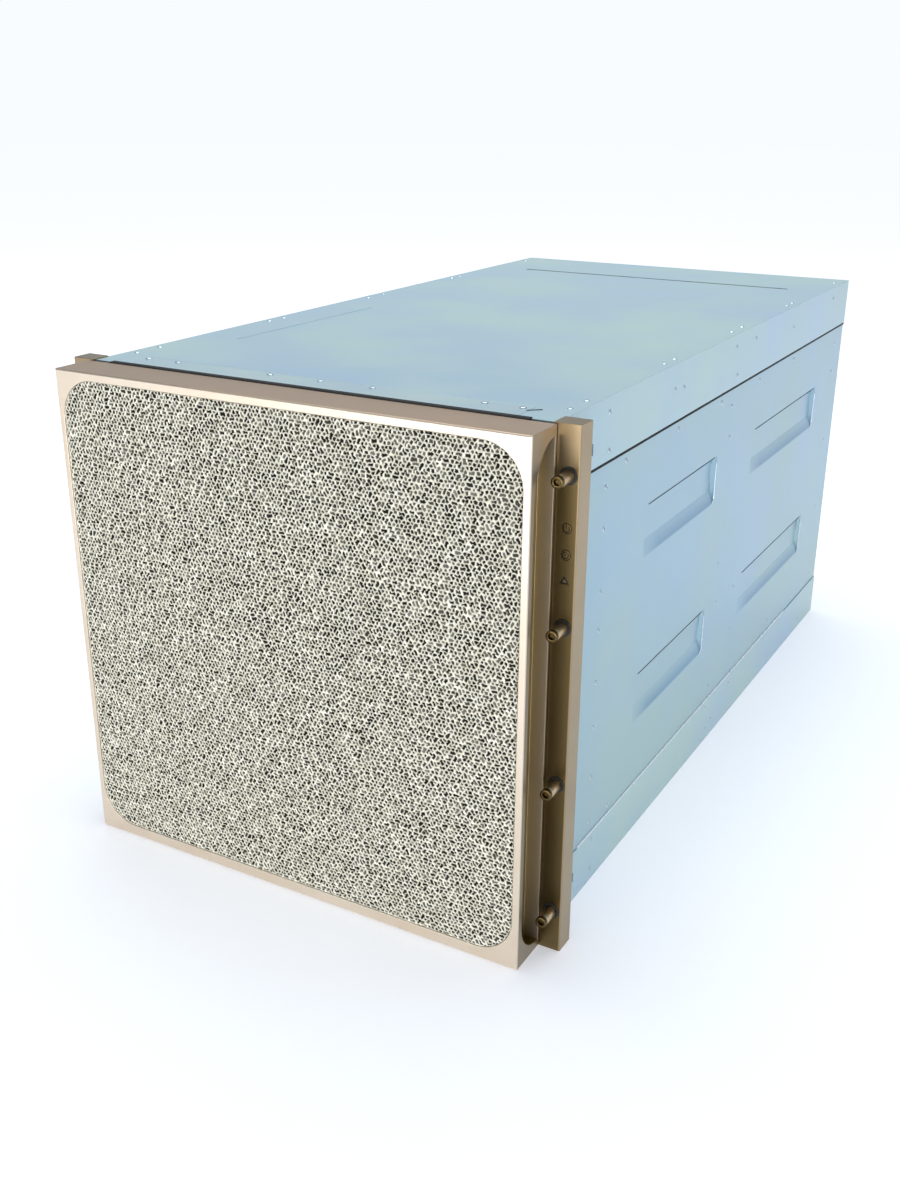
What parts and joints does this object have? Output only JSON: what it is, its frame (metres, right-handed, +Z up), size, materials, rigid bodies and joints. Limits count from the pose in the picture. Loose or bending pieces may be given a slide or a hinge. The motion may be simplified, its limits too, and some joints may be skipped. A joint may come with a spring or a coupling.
{
  "type": "gpu server",
  "caption": "Tall rack server with a metal-foam bezel, rack ears with captive thumb screws, a riveted steel chassis, fans in front, and slide-out trays and power supplies behind.",
  "frame": {"origin": "bottom centre of the whole machine", "axes": "+Z up, the front with its bezel faces -Y, +X is on the right of someone facing the front"},
  "size_m": [0.4826, 0.897, 0.4437],
  "materials": {
    "champagne_aluminium": "bead-blasted, anodised",
    "metal_foam": "open-cell, anodised",
    "zinc_steel": "zinc-plated sheet",
    "trim_rubber": "extruded",
    "tongue_plastic": "moulded",
    "screw_aluminium": "turned, anodised",
    "button_aluminium": "turned, anodised",
    "lens_plastic": "clear moulded",
    "fan_plastic": "moulded",
    "rotor_plastic": "moulded",
    "drive_plastic": "moulded",
    "circuit_board": "solder mask",
    "sink_aluminium": "extruded",
    "card_steel": "nickel-plated cage",
    "supply_steel": "zinc-plated case",
    "latch_plastic": "moulded",
    "lever_plastic": "powder-coated"
  },
  "bodies": {
    "chassis": {"chassis_base": "zinc_steel", "top_cover": "zinc_steel", "front_top_rail": "zinc_steel", "edge_trim": "trim_rubber", "left_side_panel": "zinc_steel", "right_side_panel": "zinc_steel", "left_rack_ear": "champagne_aluminium", "right_rack_ear": "champagne_aluminium", "fault_lens": "lens_plastic", "indicator_board": "circuit_board", "front_cage": "zinc_steel", "drive_carriers": "drive_plastic", "fan_housings": "fan_plastic", "bay_shelves": "zinc_steel", "midplane_board": "circuit_board"},
    "bezel": {"bezel_frame": "champagne_aluminium", "bezel_foam": "metal_foam", "bezel_tongues": "tongue_plastic"},
    "power_button": {"power_button": "button_aluminium"},
    "id_button": {"id_button": "button_aluminium"},
    "gpu_tray": {"gpu_tray": "zinc_steel", "gpu_board": "circuit_board", "gpu_heat_sinks": "sink_aluminium"},
    "mb_tray": {"mb_tray": "zinc_steel", "motherboard": "circuit_board", "cpu_heat_sinks": "sink_aluminium", "memory_modules": "circuit_board", "network_cards": "card_steel"},
    "thumb_screw_1": {"thumb_screw_1": "screw_aluminium"},
    "thumb_screw_2": {"thumb_screw_2": "screw_aluminium"},
    "thumb_screw_3": {"thumb_screw_3": "screw_aluminium"},
    "thumb_screw_4": {"thumb_screw_4": "screw_aluminium"},
    "thumb_screw_5": {"thumb_screw_5": "screw_aluminium"},
    "thumb_screw_6": {"thumb_screw_6": "screw_aluminium"},
    "thumb_screw_7": {"thumb_screw_7": "screw_aluminium"},
    "thumb_screw_8": {"thumb_screw_8": "screw_aluminium"},
    "fan_rotor_1": {"fan_rotor_1": "rotor_plastic"},
    "fan_rotor_2": {"fan_rotor_2": "rotor_plastic"},
    "fan_rotor_3": {"fan_rotor_3": "rotor_plastic"},
    "fan_rotor_4": {"fan_rotor_4": "rotor_plastic"},
    "left_gpu_lever": {"left_gpu_lever": "lever_plastic"},
    "right_gpu_lever": {"right_gpu_lever": "lever_plastic"},
    "left_mb_lever": {"left_mb_lever": "lever_plastic"},
    "right_mb_lever": {"right_mb_lever": "lever_plastic"},
    "power_supply_1": {"power_supply_1": "supply_steel"},
    "power_supply_latch_1": {"power_supply_latch_1": "latch_plastic"},
    "power_supply_2": {"power_supply_2": "supply_steel"},
    "power_supply_latch_2": {"power_supply_latch_2": "latch_plastic"},
    "power_supply_3": {"power_supply_3": "supply_steel"},
    "power_supply_latch_3": {"power_supply_latch_3": "latch_plastic"},
    "power_supply_4": {"power_supply_4": "supply_steel"},
    "power_supply_latch_4": {"power_supply_latch_4": "latch_plastic"},
    "power_supply_5": {"power_supply_5": "supply_steel"},
    "power_supply_latch_5": {"power_supply_latch_5": "latch_plastic"},
    "power_supply_6": {"power_supply_6": "supply_steel"},
    "power_supply_latch_6": {"power_supply_latch_6": "latch_plastic"}
  },
  "joints": [
    {"name": "bezel_pull", "type": "slide", "parent": "chassis", "child": "bezel", "axis": [0, -1, 0], "range_m": [0, 0.06]},
    {"name": "power_button_press", "type": "slide", "parent": "chassis", "child": "power_button", "axis": [0, 1, 0], "range_m": [0, 0.001], "stiffness_N_per_m": 500},
    {"name": "id_button_press", "type": "slide", "parent": "chassis", "child": "id_button", "axis": [0, 1, 0], "range_m": [0, 0.001], "stiffness_N_per_m": 500},
    {"name": "thumb_screw_1_turn", "type": "hinge", "parent": "chassis", "child": "thumb_screw_1", "pos_m": [-0.23255, -0.4075, 0.0377], "axis": [0, 1, 0], "continuous": true},
    {"name": "thumb_screw_2_turn", "type": "hinge", "parent": "chassis", "child": "thumb_screw_2", "pos_m": [-0.23255, -0.4075, 0.15518], "axis": [0, 1, 0], "continuous": true},
    {"name": "thumb_screw_3_turn", "type": "hinge", "parent": "chassis", "child": "thumb_screw_3", "pos_m": [-0.23255, -0.4075, 0.28852], "axis": [0, 1, 0], "continuous": true},
    {"name": "thumb_screw_4_turn", "type": "hinge", "parent": "chassis", "child": "thumb_screw_4", "pos_m": [-0.23255, -0.4075, 0.406], "axis": [0, 1, 0], "continuous": true},
    {"name": "thumb_screw_5_turn", "type": "hinge", "parent": "chassis", "child": "thumb_screw_5", "pos_m": [0.23255, -0.4075, 0.0377], "axis": [0, 1, 0], "continuous": true},
    {"name": "thumb_screw_6_turn", "type": "hinge", "parent": "chassis", "child": "thumb_screw_6", "pos_m": [0.23255, -0.4075, 0.15518], "axis": [0, 1, 0], "continuous": true},
    {"name": "thumb_screw_7_turn", "type": "hinge", "parent": "chassis", "child": "thumb_screw_7", "pos_m": [0.23255, -0.4075, 0.28852], "axis": [0, 1, 0], "continuous": true},
    {"name": "thumb_screw_8_turn", "type": "hinge", "parent": "chassis", "child": "thumb_screw_8", "pos_m": [0.23255, -0.4075, 0.406], "axis": [0, 1, 0], "continuous": true},
    {"name": "fan_rotor_1_spin", "type": "hinge", "parent": "chassis", "child": "fan_rotor_1", "pos_m": [-0.1025, -0.3673, 0.16137], "axis": [0, 1, 0], "continuous": true},
    {"name": "fan_rotor_2_spin", "type": "hinge", "parent": "chassis", "child": "fan_rotor_2", "pos_m": [0.1025, -0.3673, 0.16137], "axis": [0, 1, 0], "continuous": true},
    {"name": "fan_rotor_3_spin", "type": "hinge", "parent": "chassis", "child": "fan_rotor_3", "pos_m": [-0.1025, -0.3673, 0.34813], "axis": [0, 1, 0], "continuous": true},
    {"name": "fan_rotor_4_spin", "type": "hinge", "parent": "chassis", "child": "fan_rotor_4", "pos_m": [0.1025, -0.3673, 0.34813], "axis": [0, 1, 0], "continuous": true},
    {"name": "gpu_tray_slide", "type": "slide", "parent": "chassis", "child": "gpu_tray", "axis": [0, 1, 0], "range_m": [0, 0.6]},
    {"name": "mb_tray_slide", "type": "slide", "parent": "chassis", "child": "mb_tray", "axis": [0, 1, 0], "range_m": [0, 0.6]},
    {"name": "left_gpu_lever_swing", "type": "hinge", "parent": "gpu_tray", "child": "left_gpu_lever", "pos_m": [-0.201, 0.4382, 0.1874], "axis": [0, 0, 1], "range_deg": [0, 75]},
    {"name": "right_gpu_lever_swing", "type": "hinge", "parent": "gpu_tray", "child": "right_gpu_lever", "pos_m": [0.201, 0.4382, 0.1874], "axis": [0, 0, -1], "range_deg": [0, 75]},
    {"name": "left_mb_lever_swing", "type": "hinge", "parent": "mb_tray", "child": "left_mb_lever", "pos_m": [-0.203, 0.4382, 0.3458], "axis": [0, 0, 1], "range_deg": [0, 75]},
    {"name": "right_mb_lever_swing", "type": "hinge", "parent": "mb_tray", "child": "right_mb_lever", "pos_m": [0.203, 0.4382, 0.3458], "axis": [0, 0, -1], "range_deg": [0, 75]},
    {"name": "power_supply_1_slide", "type": "slide", "parent": "chassis", "child": "power_supply_1", "axis": [0, 1, 0], "range_m": [0, 0.3]},
    {"name": "power_supply_latch_1_swing", "type": "hinge", "parent": "power_supply_1", "child": "power_supply_latch_1", "pos_m": [-0.14825, 0.4102, 0.02175], "axis": [0, 0, 1], "range_deg": [0, 8], "stiffness_Nm_per_rad": 0.3},
    {"name": "power_supply_2_slide", "type": "slide", "parent": "chassis", "child": "power_supply_2", "axis": [0, 1, 0], "range_m": [0, 0.3]},
    {"name": "power_supply_latch_2_swing", "type": "hinge", "parent": "power_supply_2", "child": "power_supply_latch_2", "pos_m": [-0.07625, 0.4102, 0.02175], "axis": [0, 0, 1], "range_deg": [0, 8], "stiffness_Nm_per_rad": 0.3},
    {"name": "power_supply_3_slide", "type": "slide", "parent": "chassis", "child": "power_supply_3", "axis": [0, 1, 0], "range_m": [0, 0.3]},
    {"name": "power_supply_latch_3_swing", "type": "hinge", "parent": "power_supply_3", "child": "power_supply_latch_3", "pos_m": [-0.00425, 0.4102, 0.02175], "axis": [0, 0, 1], "range_deg": [0, 8], "stiffness_Nm_per_rad": 0.3},
    {"name": "power_supply_4_slide", "type": "slide", "parent": "chassis", "child": "power_supply_4", "axis": [0, 1, 0], "range_m": [0, 0.3]},
    {"name": "power_supply_latch_4_swing", "type": "hinge", "parent": "power_supply_4", "child": "power_supply_latch_4", "pos_m": [0.06775, 0.4102, 0.02175], "axis": [0, 0, 1], "range_deg": [0, 8], "stiffness_Nm_per_rad": 0.3},
    {"name": "power_supply_5_slide", "type": "slide", "parent": "chassis", "child": "power_supply_5", "axis": [0, 1, 0], "range_m": [0, 0.3]},
    {"name": "power_supply_latch_5_swing", "type": "hinge", "parent": "power_supply_5", "child": "power_supply_latch_5", "pos_m": [0.13975, 0.4102, 0.02175], "axis": [0, 0, 1], "range_deg": [0, 8], "stiffness_Nm_per_rad": 0.3},
    {"name": "power_supply_6_slide", "type": "slide", "parent": "chassis", "child": "power_supply_6", "axis": [0, 1, 0], "range_m": [0, 0.3]},
    {"name": "power_supply_latch_6_swing", "type": "hinge", "parent": "power_supply_6", "child": "power_supply_latch_6", "pos_m": [0.21175, 0.4102, 0.02175], "axis": [0, 0, 1], "range_deg": [0, 8], "stiffness_Nm_per_rad": 0.3}
  ]
}
